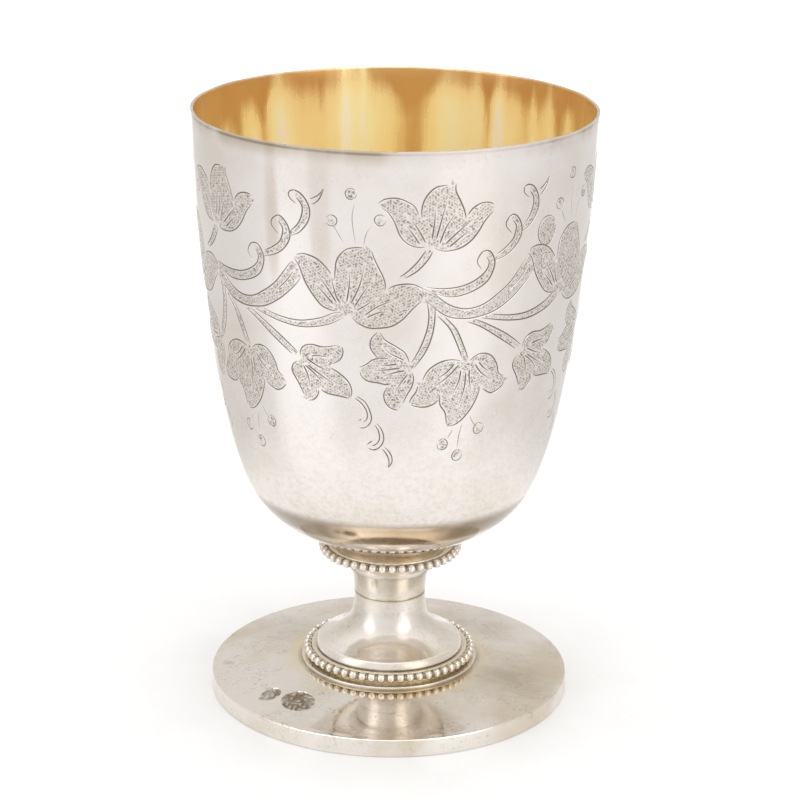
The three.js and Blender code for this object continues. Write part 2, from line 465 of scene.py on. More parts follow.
BIG_LEAF = {
    "edge": [
        [(-19, 4), (-33, 3), (-53, 10), (-71, 30), (-85, 52), (-96, 80), (-106, 92)],
        [(-104, 97), (-85, 102), (-61, 96), (-43, 82), (-32, 68)],
        [(-27, 58), (-26, 74), (-22, 98), (-7, 116), (11, 122), (29, 122)],
        [(40, 120), (43, 108), (52, 88), (61, 70), (65, 54), (63, 42)],
        [(69, 44), (75, 52), (93, 57), (113, 57), (133, 48), (139, 44)],
        [(133, 29), (113, 10), (99, -6), (79, -20), (55, -25), (33, -25), (13, -16), (1, -4)],
    ],
    "veins": [
        [(-34, 68), (-25, 30), (-15, 16)], [(-61, 69), (-43, 46), (-23, 16)],
        [(-64, 49), (-47, 32), (-29, 13)], [(0, 83), (0, 54), (-6, 18)], [(28, 95), (19, 54), (0, 14)],
        [(44, 67), (23, 36), (6, 8)], [(50, 32), (29, 16), (11, 5)], [(84, 29), (53, 16), (25, -4)],
        [(75, 6), (53, 4), (29, -8)],
    ],
    "stalk": [],
    "berries": [
        ((4, 218), [(11, 204), (6, 174), (12, 126)]),
        ((-31, 168), [(-27, 158), (-9, 128)]),
        ((55, 173), [(45, 166), (31, 148), (26, 124)]),
    ],
}

UPPER_LEAF = {
    "edge": [
        [(-6, -1), (-18, -2), (-36, 3), (-50, 17), (-60, 41), (-72, 59), (-86, 68)],
        [(-89, 70), (-84, 77), (-74, 82), (-56, 83), (-38, 76), (-26, 67), (-19, 51)],
        [(-14, 46), (-15, 65), (-8, 85), (8, 101), (30, 104)],
        [(42, 108), (42, 93), (50, 77), (58, 59), (62, 43)],
        [(63, 48), (72, 60), (86, 68), (104, 69), (114, 63)],
        [(113, 55), (96, 37), (86, 21), (72, 5), (54, -6), (34, -10), (18, -9), (6, -2)],
    ],
    "veins": [
        [(-47, 41), (-32, 25), (-16, 1)], [(-43, 56), (-24, 35), (-6, 3)], [(7, 67), (7, 43), (3, 9)],
        [(28, 80), (20, 49), (10, 9)], [(44, 56), (28, 33), (16, 1)], [(78, 46), (54, 27), (24, 0)],
        [(72, 25), (54, 13), (32, -5)],
    ],
    "stalk": [
        [(-5, -5), (-20, -27), (-38, -45), (-53, -55)], [(6, -7), (-2, -23), (-20, -43), (-43, -57)],
    ],
    "berries": [],
}

SIDE_LEAF = {
    "edge": [
        [(-1, 8), (-9, 26), (-25, 38), (-45, 50), (-54, 65)],
        [(-54, 65), (-67, 52), (-70, 38), (-63, 24), (-52, 16)],
        [(-36, 18), (-51, 18), (-65, 15), (-77, 6), (-91, 0)],
        [(-88, -4), (-85, -16), (-73, -23), (-57, -25), (-41, -28), (-30, -24)],
        [(-38, -30), (-46, -44), (-43, -60), (-33, -70), (-18, -73)],
        [(-13, -63), (-5, -46), (3, -32), (6, -16), (1, -4)],
    ],
    "veins": [
        [(-51, 40), (-35, 26), (-9, 14)], [(-55, 6), (-38, 6), (-21, 9)], [(-66, -4), (-41, -2), (-15, 2)],
        [(-51, -14), (-25, -6), (-7, -3)], [(-29, -47), (-17, -26), (-3, -8)],
        [(-15, -30), (-10, -24), (-5, -18)],
    ],
    "stalk": [
        [(25, 115), (29, 90), (26, 64), (15, 34), (0, 8)],
        [(39, 108), (39, 80), (35, 54), (25, 28), (5, 0)],
    ],
    "berries": [],
}

HANGING_LEAF = {
    "edge": [
        [(-2, 1), (-20, 6), (-40, 4), (-60, -9), (-70, -29)],
        [(-76, -34), (-79, -47), (-86, -57), (-90, -68)],
        [(-90, -68), (-78, -73), (-62, -74), (-48, -69), (-40, -61)],
        [(-39, -51), (-38, -71), (-28, -87), (-24, -111)],
        [(-23, -113), (-4, -107), (14, -89), (26, -67), (32, -45)],
        [(34, -49), (42, -55), (54, -61), (68, -57), (80, -45)],
        [(77, -36), (64, -27), (60, -13), (50, 3), (36, 11), (20, 10), (6, 0)],
    ],
    "veins": [
        [(-51, -27), (-30, -15), (-16, 1)], [(-56, -43), (-28, -23), (-8, -1)],
        [(-19, -58), (-8, -31), (-6, -11)], [(-7, -79), (2, -47), (3, -15)],
        [(16, -56), (10, -31), (9, -11)], [(53, -39), (30, -21), (17, -3)],
        [(48, -23), (34, -13), (24, -1)],
    ],
    "stalk": [
        [(-51, 86), (-30, 63), (-16, 35), (-5, 7)], [(-39, 83), (-18, 59), (-4, 29), (6, 4)],
    ],
    "berries": [
        ((-29, -144), [(-11, -117), (-22, -135)]),
        ((0, -167), [(4, -107), (0, -131), (-1, -155)]),
        ((36, -122), [(17, -95), (22, -107), (32, -119)]),
    ],
}

END_LEAF = {
    "edge": [
        [(-2, -5), (-12, -14), (-14, -26), (-4, -44), (6, -66)],
        [(9, -73), (20, -70), (29, -60), (31, -49)], [(33, -48), (44, -55), (66, -58), (82, -61)],
        [(82, -61), (85, -48), (80, -32), (66, -18), (50, -9)], [(54, -5), (68, 6), (73, 20), (70, 30)],
        [(68, 32), (58, 28), (40, 24), (24, 26), (10, 22), (3, 12), (3, 2)],
    ],
    "veins": [
        [(54, 8), (36, 8), (20, 6)], [(55, -18), (32, -10), (10, 2)], [(60, -39), (38, -26), (12, -9)],
        [(42, -43), (28, -26), (8, -10)], [(16, -52), (14, -30), (6, -10)],
    ],
    "stalk": [],
    "berries": [],
}

BERRY_SIZE = 0.5
BERRY_GROUND = 0.26
CURL_BELOW_END_LEAF = [  # from the end leaf's base, in parts of its sketch unit
    [(90, -54), (106, -66), (115, -88), (113, -102), (104, -111), (94, -110)],
    [(87, -57), (100, -68), (108, -82), (108, -95), (100, -103)], [(93, -101), (101, -93)],
    [(122, -100), (132, -114), (135, -130), (129, -144), (118, -150), (107, -146)],
    [(118, -103), (126, -114), (128, -130), (122, -140), (113, -143)], [(106, -142), (118, -132)],
    [(135, -143), (146, -156), (149, -170), (142, -184)],
    [(131, -146), (140, -158), (144, -170), (142, -184)],
]

# The leaves of one repeat: drawing, arc and height of the base, and the sketch unit's width and height.
LEAVES = [
    (BIG_LEAF, (-8.6, 96.8), (2.22, 2.26)),
    (UPPER_LEAF, (7.2, 111.1), (2.3, 2.35)),
    (SIDE_LEAF, (3.95, 85.3), (2.41, 2.49)),
    (HANGING_LEAF, (15.7, 86.0), (2.64, 2.49)),
    (END_LEAF, (29.9, 86.6), (2.77, 2.52)),
]

# Bands and stalks of one repeat: the two edges of each, as arc and height.
MAIN_BAND = [
    [(6.2, 102.3), (8.6, 100.9), (11.5, 98.7), (15.0, 97.5), (18.6, 97.9), (22.0, 99.7), (25.0, 101.9),
     (27.2, 104.4), (28.7, 106.3), (29.7, 107.2)],
    [(6.2, 100.5), (8.7, 98.0), (11.6, 96.1), (15.1, 95.4), (18.5, 95.6), (22.2, 96.5), (25.9, 98.6),
     (28.9, 101.1), (30.6, 102.9), (31.4, 104.2)],
]
BAND_FOLD = [(25.2, 100.3), (27.8, 102.6), (29.8, 105.2)]
THIN_STEM = [
    [(20.9, 95.8), (25.5, 94.9), (30.4, 94.7), (35.2, 95.8), (38.3, 97.2), (40.3, 97.5)],
    [(18.5, 95.3), (22.0, 94.5), (26.2, 93.7), (31.2, 93.4), (36.9, 94.6), (40.6, 96.6)],
]
END_LEAF_STALK = [
    [(17.0, 95.2), (20.1, 93.8), (25.3, 90.9), (29.8, 87.7)],
    [(15.5, 94.8), (18.9, 93.3), (24.0, 90.0), (28.5, 87.0)],
]
TENDRIL = [
    [(6.4, 102.6), (10.0, 102.1), (13.8, 102.3), (16.9, 103.4), (19.1, 105.1), (19.7, 106.9), (18.8, 108.3)],
    [(8.5, 101.1), (11.5, 100.3), (14.4, 100.5), (17.6, 101.6), (19.9, 103.3), (21.0, 106.1), (20.6, 108.0),
     (19.6, 109.2), (18.2, 109.2), (17.3, 108.1), (17.1, 107.0), (18.2, 105.4)],
    [(21.0, 108.1), (23.0, 109.2), (24.9, 110.8), (25.6, 112.8), (25.5, 113.9), (24.5, 115.1)],
    [(21.1, 107.0), (23.5, 107.8), (25.6, 109.3), (27.0, 111.6), (26.9, 113.7), (26.0, 115.3), (24.8, 116.1),
     (23.4, 115.2), (23.2, 113.8), (24.9, 112.0)],
    [(27.2, 113.2), (28.9, 115.1), (29.7, 117.3), (29.6, 119.0), (28.4, 120.5)],
    [(27.1, 112.3), (29.1, 113.3), (30.9, 115.9), (31.1, 118.5), (29.9, 120.8), (28.3, 121.7), (27.1, 121.2),
     (27.3, 120.0), (28.8, 118.9)],
    [(30.9, 120.1), (32.8, 121.2), (34.0, 122.9)],
    [(31.3, 119.0), (32.9, 120.3), (34.0, 122.9)],
]
TENDRIL_START = 6.2

# The five repeats: arc from the front one, how much it and its tendril are drawn out, and how high it sits.
REPEATS = [
    (-50.2, 1.0, 1.1, -0.6),
    (0.0, 1.0, 1.0, 0.0),
    (50.2, 1.052, 1.0, 0.3),
    (103.0, 1.052, 1.03, 0.0),
    (155.9, 1.052, 1.03, -0.2),
]
STRETCH_FROM = -8.6


def placed(points, base, unit):
    """A drawing's points, carried to the frieze as arcs and heights."""
    return [(base[0] + x / UNIT_PARTS * unit[0], base[1] + y / UNIT_PARTS * unit[1]) for x, y in points]


def circle(center, radius, start=0.0, steps=12):
    angles = [start + TAU * i / steps for i in range(steps + 1)]
    return [(center[0] + radius * math.cos(a), center[1] + radius * math.sin(a)) for a in angles]


EVEN, FROM_TIP, FAINT, LIGHT = "even", "from_tip", "faint", "light"


def leaf_strokes(leaf, base, unit):
    """A leaf's strokes, each with the way it was cut."""
    strokes = [(placed(s, base, unit), EVEN) for s in leaf["edge"] + leaf["stalk"]]
    strokes += [(placed(s, base, unit), FROM_TIP) for s in leaf["veins"]]
    for center, stalk in leaf["berries"]:
        strokes.append((placed(stalk, base, unit), FAINT))
        middle = placed([center], base, unit)[0]
        strokes.append((circle(middle, BERRY_SIZE * unit[1], rng.uniform(0, TAU)), LIGHT))
    return strokes


def leaf_grounds(leaf, base, unit):
    """The matted areas: the leaf itself, its stalk, and a small round in each berry."""
    grounds = [placed([p for stroke in leaf["edge"] for p in stroke], base, unit)]
    if leaf["stalk"]:
        first, second = leaf["stalk"]
        grounds.append(placed(first + second[::-1], base, unit))
    for center, _ in leaf["berries"]:
        middle = placed([center], base, unit)[0]
        grounds.append(circle(middle, BERRY_GROUND * unit[1]))
    return grounds


def one_repeat():
    """Every stroke and every matted ground of one repeat, but for its tendril."""
    strokes, grounds = [], []
    for leaf, base, unit in LEAVES:
        strokes += leaf_strokes(leaf, base, unit)
        grounds += leaf_grounds(leaf, base, unit)
    for first, second in (MAIN_BAND, THIN_STEM, END_LEAF_STALK):
        strokes += [(first, EVEN), (second, EVEN)]
        grounds.append(first + second[::-1])
    strokes.append((BAND_FOLD, LIGHT))
    leaf, base, unit = LEAVES[-1]
    strokes += [(placed(s, base, unit), EVEN) for s in CURL_BELOW_END_LEAF]
    return strokes, grounds


STAMPS = [((34.3, 111.3), 2.7, 3.0), ((34.4, 104.9), 1.2, 1.7)]  # centre, half width and half height


def oval(center, wide, high):
    return [(center[0] + x * wide, center[1] + y * high) for x, y in circle((0, 0), 1.0, 0.4, 20)]


def tendril(draw_out):
    """The curling tendril's strokes and matted grounds, drawn out along the frieze."""
    drawn = [[(TENDRIL_START + (x - TENDRIL_START) * draw_out, y) for x, y in stroke] for stroke in TENDRIL]
    grounds = [first + second[: len(first) + 1][::-1] for first, second in zip(drawn[:6:2], drawn[1:6:2])]
    return [(stroke, EVEN) for stroke in drawn], grounds


def moved(points, arc, stretch, rise):
    """Points of the drawing carried to their own repeat."""
    return [(arc + STRETCH_FROM + (x - STRETCH_FROM) * stretch, y + rise) for x, y in points]


def whole_frieze():
    """Every stroke and every matted ground of the frieze."""
    strokes, grounds = [], []
    for center, wide, high in STAMPS:
        strokes.append((oval(center, wide, high), LIGHT))
        grounds.append(oval(center, wide * 0.95, high * 0.95))
    for arc, stretch, draw_out, rise in REPEATS:
        some, matted = one_repeat()
        curls, curl_grounds = tendril(draw_out)
        strokes += [(moved(stroke, arc, stretch, rise), cut) for stroke, cut in some + curls]
        grounds += [moved(ground, arc, stretch, rise) for ground in matted + curl_grounds]
    return strokes, grounds


# The bowl


class Profile:
    """The bowl's outside as a curve, with the lengths that flatten it without bending angles."""

    def __init__(self):
        self.points = shaped(BOWL_SHAPE, SEAT_RADIUS, RIM_RADIUS, BOWL_HEIGHT, 60)
        steps = np.diff(self.points, axis=0)
        lengths = np.hypot(steps[:, 0], steps[:, 1])
        self.length = np.concatenate([[0], np.cumsum(lengths)])
        middle = (self.points[1:, 0] + self.points[:-1, 0]) / 2
        self.log = np.concatenate([[0], np.cumsum(lengths / middle)])
        self.frieze = np.interp(FRIEZE_HEIGHT, self.points[:, 1], self.log)
        self.tangent = np.gradient(self.points, self.length, axis=0)
        self.tangent /= np.linalg.norm(self.tangent, axis=1)[:, None]

    def flat_radius(self, height):
        """The radius in the flattened plan of a height above the seat."""
        log = np.interp(height, self.points[:, 1], self.log)
        return FRIEZE_RADIUS * np.exp(log - self.frieze)

    def at_flat_radius(self, flat):
        """The radius and height there, and the outward direction."""
        log = np.log(np.maximum(flat, 1e-6) / FRIEZE_RADIUS) + self.frieze
        radius, height = (np.interp(log, self.log, self.points[:, k]) for k in (0, 1))
        along_r, along_z = (np.interp(log, self.log, self.tangent[:, k]) for k in (0, 1))
        return radius, height, along_z, -along_r


profile = Profile()


def flat_point(arc, z):
    """A point of the frieze in the flattened plan."""
    angle = arc / FRIEZE_RADIUS
    flat = profile.flat_radius(z - BOWL_Z)
    return flat * math.sin(angle), -flat * math.cos(angle)


def resample(stroke, step):
    curve = spline(stroke, 12) if len(stroke) > 2 else np.array(stroke, float)
    lengths = np.concatenate([[0], np.cumsum(np.linalg.norm(np.diff(curve, axis=0), axis=1))])
    count = max(int(round(lengths[-1] / step)), 2)
    at = np.linspace(0, lengths[-1], count + 1)
    return np.stack([np.interp(at, lengths, curve[:, k]) for k in (0, 1)], axis=1)


class Plan:
    """The points of the bowl's outside in the flattened plan, with their finish and the fixed edges."""

    def __init__(self):
        self.points, self.edges, self.depths = [], [], []
        self.matte, self.cut = [], []

    def add(self, arc, z, depth=0.0, matte=0.0, cut=0.0):
        self.points.append(flat_point(arc, z))
        self.depths.append(depth)
        self.matte.append(matte)
        self.cut.append(cut)
        return len(self.points) - 1


def groove_size(share, cut):
    """How wide and deep a groove is along its length, as a share of the full size."""
    arch = abs(math.sin(math.pi * share)) ** 0.5
    if cut == FROM_TIP:
        return (0.3 + 0.95 * share**0.8) * min(1, 6 * (1 - share) + 0.2)
    full = {EVEN: 1.0, LIGHT: 0.8, FAINT: 0.6}[cut]
    return full * (0.4 + 0.6 * arch)


def add_groove(plan, stroke, cut):
    """A rounded V groove along a stroke, pointed at both ends."""
    line = resample(stroke, STROKE_STEP)
    along = np.gradient(line, axis=0)
    along /= np.linalg.norm(along, axis=1)[:, None] + 1e-9
    side = np.stack([-along[:, 1], along[:, 0]], axis=1)
    count = len(line)
    rows = {}
    for i, (arc, z) in enumerate(line):
        at_end = i in (0, count - 1)
        size = groove_size(i / (count - 1), cut)
        if at_end:
            point = plan.add(arc, z)
        for out, down, dark in GROOVE_ROWS:
            for sign in (-1, 1) if out else (1,):
                if not at_end:
                    shift = sign * out * GROOVE_HALF * size
                    place = arc + side[i, 0] * shift, z + side[i, 1] * shift
                    point = plan.add(*place, -down * GROOVE_DEPTH * size, 0.0, dark * min(1.0, 1.2 * size))
                rows.setdefault((sign, out), []).append(point)
    for row in rows.values():
        plan.edges += [(a, b) for a, b in zip(row, row[1:]) if a != b]


def inside_polygon(points, polygon):
    points, polygon = np.asarray(points), np.asarray(polygon)
    inside = np.zeros(len(points), bool)
    x, y = points[:, 0], points[:, 1]
    for (x0, y0), (x1, y1) in zip(polygon, np.roll(polygon, -1, axis=0)):
        crosses = (y0 > y) != (y1 > y)
        slope = (x1 - x0) / (y1 - y0 + 1e-12)
        inside ^= crosses & (x < x0 + (y - y0) * slope)
    return inside


def stipple_points(grounds):
    """A loose even scatter over the matted grounds, where about every third point is a punched dot."""
    spots = []
    for ground in grounds:
        middle = np.mean(ground, axis=0)
        reach = np.max(np.linalg.norm(np.asarray(ground) - middle, axis=1))
        count = int(reach / STIPPLE_STEP) + 1
        lean = rng.uniform(0, math.pi)
        cosine, sine = math.cos(lean), math.sin(lean)
        grid, struck = [], []
        for row in range(-count, count + 1):
            for column in range(-count, count + 1):
                x = (column + 0.5 * (row % 2)) * STIPPLE_STEP + rng.uniform(-STIPPLE_JITTER, STIPPLE_JITTER)
                y = row * STIPPLE_ROWS * STIPPLE_STEP + rng.uniform(-STIPPLE_JITTER, STIPPLE_JITTER)
                grid.append((middle[0] + x * cosine - y * sine, middle[1] + x * sine + y * cosine))
                dot = (column + 2 * (row % 2)) % 3 == 0
                struck.append(rng.uniform(0.4, 1.0) if dot else rng.uniform(0.0, 0.12))
        inside = inside_polygon(grid, ground)
        spots += [(arc, z, s) for (arc, z), s, ok in zip(grid, struck, inside) if ok]
    return spots


def add_plain_ground(plan, tree, matte_tree):
    """Evenly spread points over the plain metal, in rings from the seat to the rim."""
    total = profile.length[-1]
    rows = int(total / PLAIN_STEP)
    for row in range(rows + 1):
        length = total * row / rows
        height = np.interp(length, profile.length, profile.points[:, 1])
        radius = np.interp(length, profile.length, profile.points[:, 0])
        ends = {0: SEAT_STEPS, rows: RIM_STEPS}
        count = ends.get(row, int(TAU * radius / PLAIN_STEP))
        ring = []
        for k in range(count):
            turn = (k + 0.5 * (row % 2) * (row != rows)) / count
            arc = (turn - 0.5) * TAU * FRIEZE_RADIUS
            z = BOWL_Z + height
            near = tree.find(frieze_key(arc, z))[2]
            matted = matte_tree.find(frieze_key(arc, z))[2]
            if row in ends or (near > PLAIN_FROM_GROOVE and matted > PLAIN_FROM_STIPPLE):
                ring.append(plan.add(arc, z))
        if row in ends:
            plan.edges += list(zip(ring, ring[1:] + ring[:1]))


def frieze_key(arc, z):
    """A place for the search trees, on a cylinder so that the frieze has no seam."""
    angle = arc / FRIEZE_RADIUS
    return FRIEZE_RADIUS * math.sin(angle), -FRIEZE_RADIUS * math.cos(angle), z


def search_tree(places):
    tree = KDTree(max(len(places), 1))
    for i, (arc, z) in enumerate(places):
        tree.insert(frieze_key(arc, z), i)
    tree.balance()
    return tree


def plan_bowl():
    """The grooves, then the dots between them, then the plain metal round both."""
    plan = Plan()
    strokes, grounds = whole_frieze()
    fine = []
    for stroke, cut in strokes:
        add_groove(plan, stroke, cut)
        fine += resample(stroke, SEARCH_STEP).tolist()
    tree = search_tree(fine)
    clear = GROOVE_HALF + STIPPLE_MARGIN
    spots = [p for p in stipple_points(grounds) if tree.find(frieze_key(*p[:2]))[2] > clear]
    for arc, z, struck in spots:
        plan.add(arc, z, -struck * STIPPLE_DEPTH, 1.0, 0.95 * struck)
    add_plain_ground(plan, tree, search_tree([p[:2] for p in spots]))
    return plan


def triangulate(plan):
    """The plan's triangles, with the place, depth, matting and darkness of each of their points."""
    coordinates = [tuple(map(float, p)) for p in plan.points]
    verts, _, faces, originals, _, _ = delaunay_2d_cdt(coordinates, plan.edges, [], 0, 1e-4)
    depths, matte, cut = (np.zeros(len(verts)) for _ in range(3))
    flat = np.zeros((len(verts), 2))
    for i, sources in enumerate(originals):
        flat[i] = coordinates[sources[0]] if sources else tuple(verts[i])
        depths[i] = min((plan.depths[s] for s in sources), default=-GROOVE_DEPTH / 2)
        matte[i] = max((plan.matte[s] for s in sources), default=0.0)
        cut[i] = max((plan.cut[s] for s in sources), default=0.5)
    return flat, faces, depths, matte, cut


def outer_surface():
    """The engraved outside: points, triangles, smooth normals, depths, matting and darkness."""
    flat, faces, depths, matte, cut = triangulate(plan_bowl())
    flat_radius = np.hypot(flat[:, 0], flat[:, 1])
    radius, height, normal_r, normal_z = profile.at_flat_radius(flat_radius)
    sine, cosine = flat[:, 0] / flat_radius, -flat[:, 1] / flat_radius
    out = radius + depths * normal_r
    verts = np.stack([out * sine, -out * cosine, BOWL_Z + height + depths * normal_z], axis=1)
    normals = np.stack([normal_r * sine, -normal_r * cosine, normal_z], axis=1)
    seat = flat_radius < flat_radius.min() * 1.0001
    kept = [tuple(reversed(f)) for f in faces if not all(seat[v] for v in f)]
    return verts, kept, normals, depths, matte, cut


def inner_outline():
    """The bowl's inside, from the lip down to the middle of its bottom, and how many rows the lip has."""
    outer = profile.points[::12]
    tangent = profile.tangent[::12]
    inner = outer + np.stack([-tangent[:, 1], tangent[:, 0]], axis=1) * BOWL_WALL
    share = np.clip((inner[:, 1] / BOWL_HEIGHT - 0.8) / 0.2, 0, 1)
    inner[:, 0] += share * (BOWL_WALL - RIM_WALL)
    inner = inner[(inner[:, 1] < BOWL_HEIGHT - 0.6) & (inner[:, 1] > BOWL_WALL + 0.4)]
    wall = RIM_RADIUS - RIM_WALL
    lip = [(RIM_RADIUS - 0.1, BOWL_HEIGHT - 0.02), (RIM_RADIUS - 0.28, BOWL_HEIGHT)]
    lip += [(wall + 0.12, BOWL_HEIGHT), (wall + 0.02, BOWL_HEIGHT - 0.1), (wall - 0.02, BOWL_HEIGHT - 0.35)]
    bottom = [(inner[0, 0] - 2.5, BOWL_WALL + 0.12), (inner[0, 0] - 6, BOWL_WALL), (2.0, BOWL_WALL)]
    return np.array(lip + inner[::-1].tolist() + bottom), len(lip)


def ripple(angles, height):
    """The slight flutes and dents that the hammer left inside."""
    waves = 0.05 * np.sin(7 * angles + 0.6) + 0.035 * np.sin(13 * angles + 2.1 + height / 30)
    waves += 0.02 * np.sin(23 * angles + 4.0 - height / 45)
    return waves


def rim_unevenness(angles):
    """The rim isn't quite level, and has one small nick at the front."""
    nick = 0.18 * hump(angles, 0, 0.02)
    return 0.05 * np.sin(3 * angles + 1.0) + 0.03 * np.sin(17 * angles) - 0.06 - nick


def near_rim(height):
    """None well below the rim, rising to one at the rim."""
    return np.clip((height - BOWL_HEIGHT + UNEVEN_REACH) / UNEVEN_REACH, 0, 1)


def inside_rows(angles, outline):
    """The inside's points, one row for each point of its outline."""
    rows = []
    for radius, height in outline:
        depth = np.clip((BOWL_HEIGHT - height) / 12, 0, 1) * np.clip(height / 20, 0, 1)
        out = radius + ripple(angles, height) * depth - 0.06 * depth
        z = BOWL_Z + height + rim_unevenness(angles) * near_rim(height)
        rows.append(np.stack([out * np.sin(angles), -out * np.cos(angles), z], axis=1))
    return rows


def bowl():
    verts, faces, normals, depths, matte, cut = outer_surface()
    outer_verts, outer_faces = len(verts), len(faces)
    angle, reach = polar(verts)
    verts[:, 2] += rim_unevenness(angle) * near_rim(verts[:, 2] - BOWL_Z)
    top = np.where(verts[:, 2] > BOWL_Z + BOWL_HEIGHT - 0.6)[0]
    rim = top[np.argsort(angle[top])]
    size = len(rim)
    outline, lip_rows = inner_outline()
    rows = inside_rows(angle[rim], outline)
    starts = [outer_verts + k * size for k in range(len(rows))]
    rings = [rim.tolist()] + [list(range(start, start + size)) for start in starts]
    indices = [0] * outer_faces
    for k, (upper, lower) in enumerate(zip(rings, rings[1:])):
        for i in range(size):
            j = (i + 1) % size
            faces.append((upper[i], upper[j], lower[j], lower[i]))
            indices.append(0 if k < lip_rows - 2 else 1)
    faces.append(tuple(rings[-1]))
    indices.append(1)
    seat = np.where(np.abs(verts[:, 2] - BOWL_Z) < 0.02)[0]
    seat = seat[reach[seat] < SEAT_RADIUS + 0.01]
    faces.append(tuple(seat[np.argsort(-angle[seat])].tolist()))
    indices.append(0)
    all_verts = np.concatenate([verts] + rows)
    obj = new_object("engraved_bowl", all_verts, faces, [ENGRAVED, GILT], indices)
    shade_bowl(obj, outer_faces, normals, depths, matte)
    inside = np.zeros(len(all_verts) - outer_verts)
    set_attribute(obj, "cut", np.concatenate([np.clip(cut, 0, 1), inside]))
    set_attribute(obj, "matte", np.concatenate([matte, inside]))
    set_attribute(obj, "painted_sheen", painted_sheen(all_verts))
    finish_piece(obj, "bowl")


GILT_RADIUS = 41.8
# Painted reflections on the gilding, as upright bright and dark streaks.
PAINTED_GILT_STREAKS = [  # across the far wall, half width, how bright or dark, and how much more so lower down
    (-40.5, 1.2, -0.4, 0.0),
    (-37.4, 0.6, -0.3, 1.1),
    (-34.8, 1.0, -0.6, 0.0),
    (-31.6, 1.1, -0.3, 1.0),
    (-29.6, 1.0, -0.8, 0.1),
    (-26.0, 2.0, 0.8, 0.6),
    (-16.8, 0.5, -0.4, 0.1),
    (-11.6, 0.9, 0.6, 1.8),
    (-9.0, 3.0, 0.45, 0.2),
    (-7.2, 0.5, 0.3, 0.2),
    (3.6, 3.9, -1.1, 0.1),
    (12.4, 3.4, 0.65, 0.3),
    (17.9, 1.2, 0.5, -0.1),
    (20.3, 0.55, -0.9, -0.1),
    (22.8, 1.1, 0.6, 1.7),
    (28.3, 0.9, -0.5, 0.1),
    (30.3, 0.4, 0.5, 0.4),
    (33.6, 0.7, 0.5, 0.0),
    (35.4, 0.6, -0.5, 0.0),
    (37.2, 0.4, 0.4, 0.5),
    (39.6, 1.0, -0.5, 0.0),
]


def painted_sheen(verts):
    """Painted sheen and shade on the gilding: upright bright and dark streaks standing in for reflections,
    and painted shade along the top and towards the sides.
    """
    angle = np.arctan2(verts[:, 0], verts[:, 1])
    across = GILT_RADIUS * np.sin(angle)
    height = (verts[:, 2] - BOWL_Z) / BOWL_HEIGHT
    wander = 0.8 * np.sin(height * 9) + 0.4 * np.sin(height * 23 + 1)
    lower = np.clip((0.955 - height) / 0.08, 0, 1)
    value = 0.14 + 0.32 * lower
    for at, half, strength, growth in PAINTED_GILT_STREAKS:
        value += (strength + growth * lower) * hump(across - at - 0.3 * wander, 0, half)
    near_top = hump(height, 1, 0.05)
    sides = np.clip((np.abs(across) - 26) / 11, 0, 1)
    return np.clip(value - near_top * (1.15 + 0.25 * np.sin(5 * angle)) - 0.75 * sides, -1.2, 2.0)


def shade_bowl(obj, outer_faces, normals, depths, matte):
    """Plain metal gets the bowl's own smooth normals, and cut or punched metal stays faceted."""
    mesh = obj.data
    cut = (depths < -1e-4) | (matte > 0)
    loop_normals = np.zeros((len(mesh.loops), 3))
    for polygon in mesh.polygons[:outer_faces]:
        rough = any(cut[v] for v in polygon.vertices)
        for loop, v in zip(polygon.loop_indices, polygon.vertices):
            loop_normals[loop] = polygon.normal if rough else normals[v]
    mesh.normals_split_custom_set(loop_normals.tolist())


# The stem


def painted_shade_bands(angle):
    """Six soft bands of painted shade round the stem, darker at the front and every sixth of a turn from it,
    clear between, where the stem's highlights fall.
    """
    return 0.5 + 0.5 * np.cos(6 * angle - 0.3)


def upper_stem():
    lip_z = UPPER_STEM_HEIGHT * LIP_SHARE
    edge_top = UPPER_STEM_HEIGHT - FLANGE_FALL
    edge_bottom = edge_top - UPPER_FLANGE_EDGE
    neck_top = NECK_RADIUS + UPPER_FLARE
    lip = neck_top + LIP_STEP
    flange = UPPER_FLANGE_RADIUS
    neck = bezier((NECK_RADIUS, 0), (NECK_RADIUS, lip_z / 2), (neck_top, lip_z), 14)
    cove = bezier((lip, lip_z + 0.15), (lip + 0.1, edge_bottom), (flange - 0.3, edge_bottom), 14)
    outline = [(STEM_BORE_RADIUS, 0), (NECK_RADIUS - 0.15, 0), (NECK_RADIUS - 0.05, 0.06)]
    outline += neck[1:].tolist()
    outline += [(lip - 0.12, lip_z), (lip - 0.02, lip_z + 0.04)] + cove.tolist()
    outline += corner((flange - 0.4, edge_bottom), (flange, edge_bottom), (flange, edge_top), 0.2).tolist()
    seat = (SEAT_RADIUS, UPPER_STEM_HEIGHT)
    outline += corner((flange, edge_bottom), (flange, edge_top), seat, 0.25).tolist()
    outline += [seat, (STEM_BORE_RADIUS, UPPER_STEM_HEIGHT)]
    outline = np.array(outline) + (0, UPPER_STEM_Z)
    verts, faces = turned_mesh(outline, even_angles(UPPER_STEM_STEPS))
    obj = new_object("neck_and_flange", verts, faces, [SILVER])
    z = verts[:, 2] - UPPER_STEM_Z
    # The six bands of painted shade round the neck.
    stain = painted_shade_bands(polar(verts)[0])
    # Darker at the neck's foot, a joint, and just under the lip; below the flange's edge, the bands of
    # painted shade.
    grime_and_shade = 0.35 * hump(z, 0, 0.2) + 0.3 * hump(z, lip_z, 0.3)
    grime_and_shade += 0.3 * stain * (z < edge_bottom - 0.5)
    # A warm yellow tint at the neck's foot and on the flange's top, with a little of the bands of painted
    # shade.
    warm = 0.6 * hump(z, 0, 0.3) + 0.45 * (z > edge_top - 1.2) + 0.2 * stain + 0.06
    finish_silver(obj, "upper_stem", grime_and_shade, warm)


DOME_PITS = [(-0.25, 10.1, 0.36), (-0.07, 10.05, 0.33), (0.62, 11.5, 0.3)]  # angle, height and size


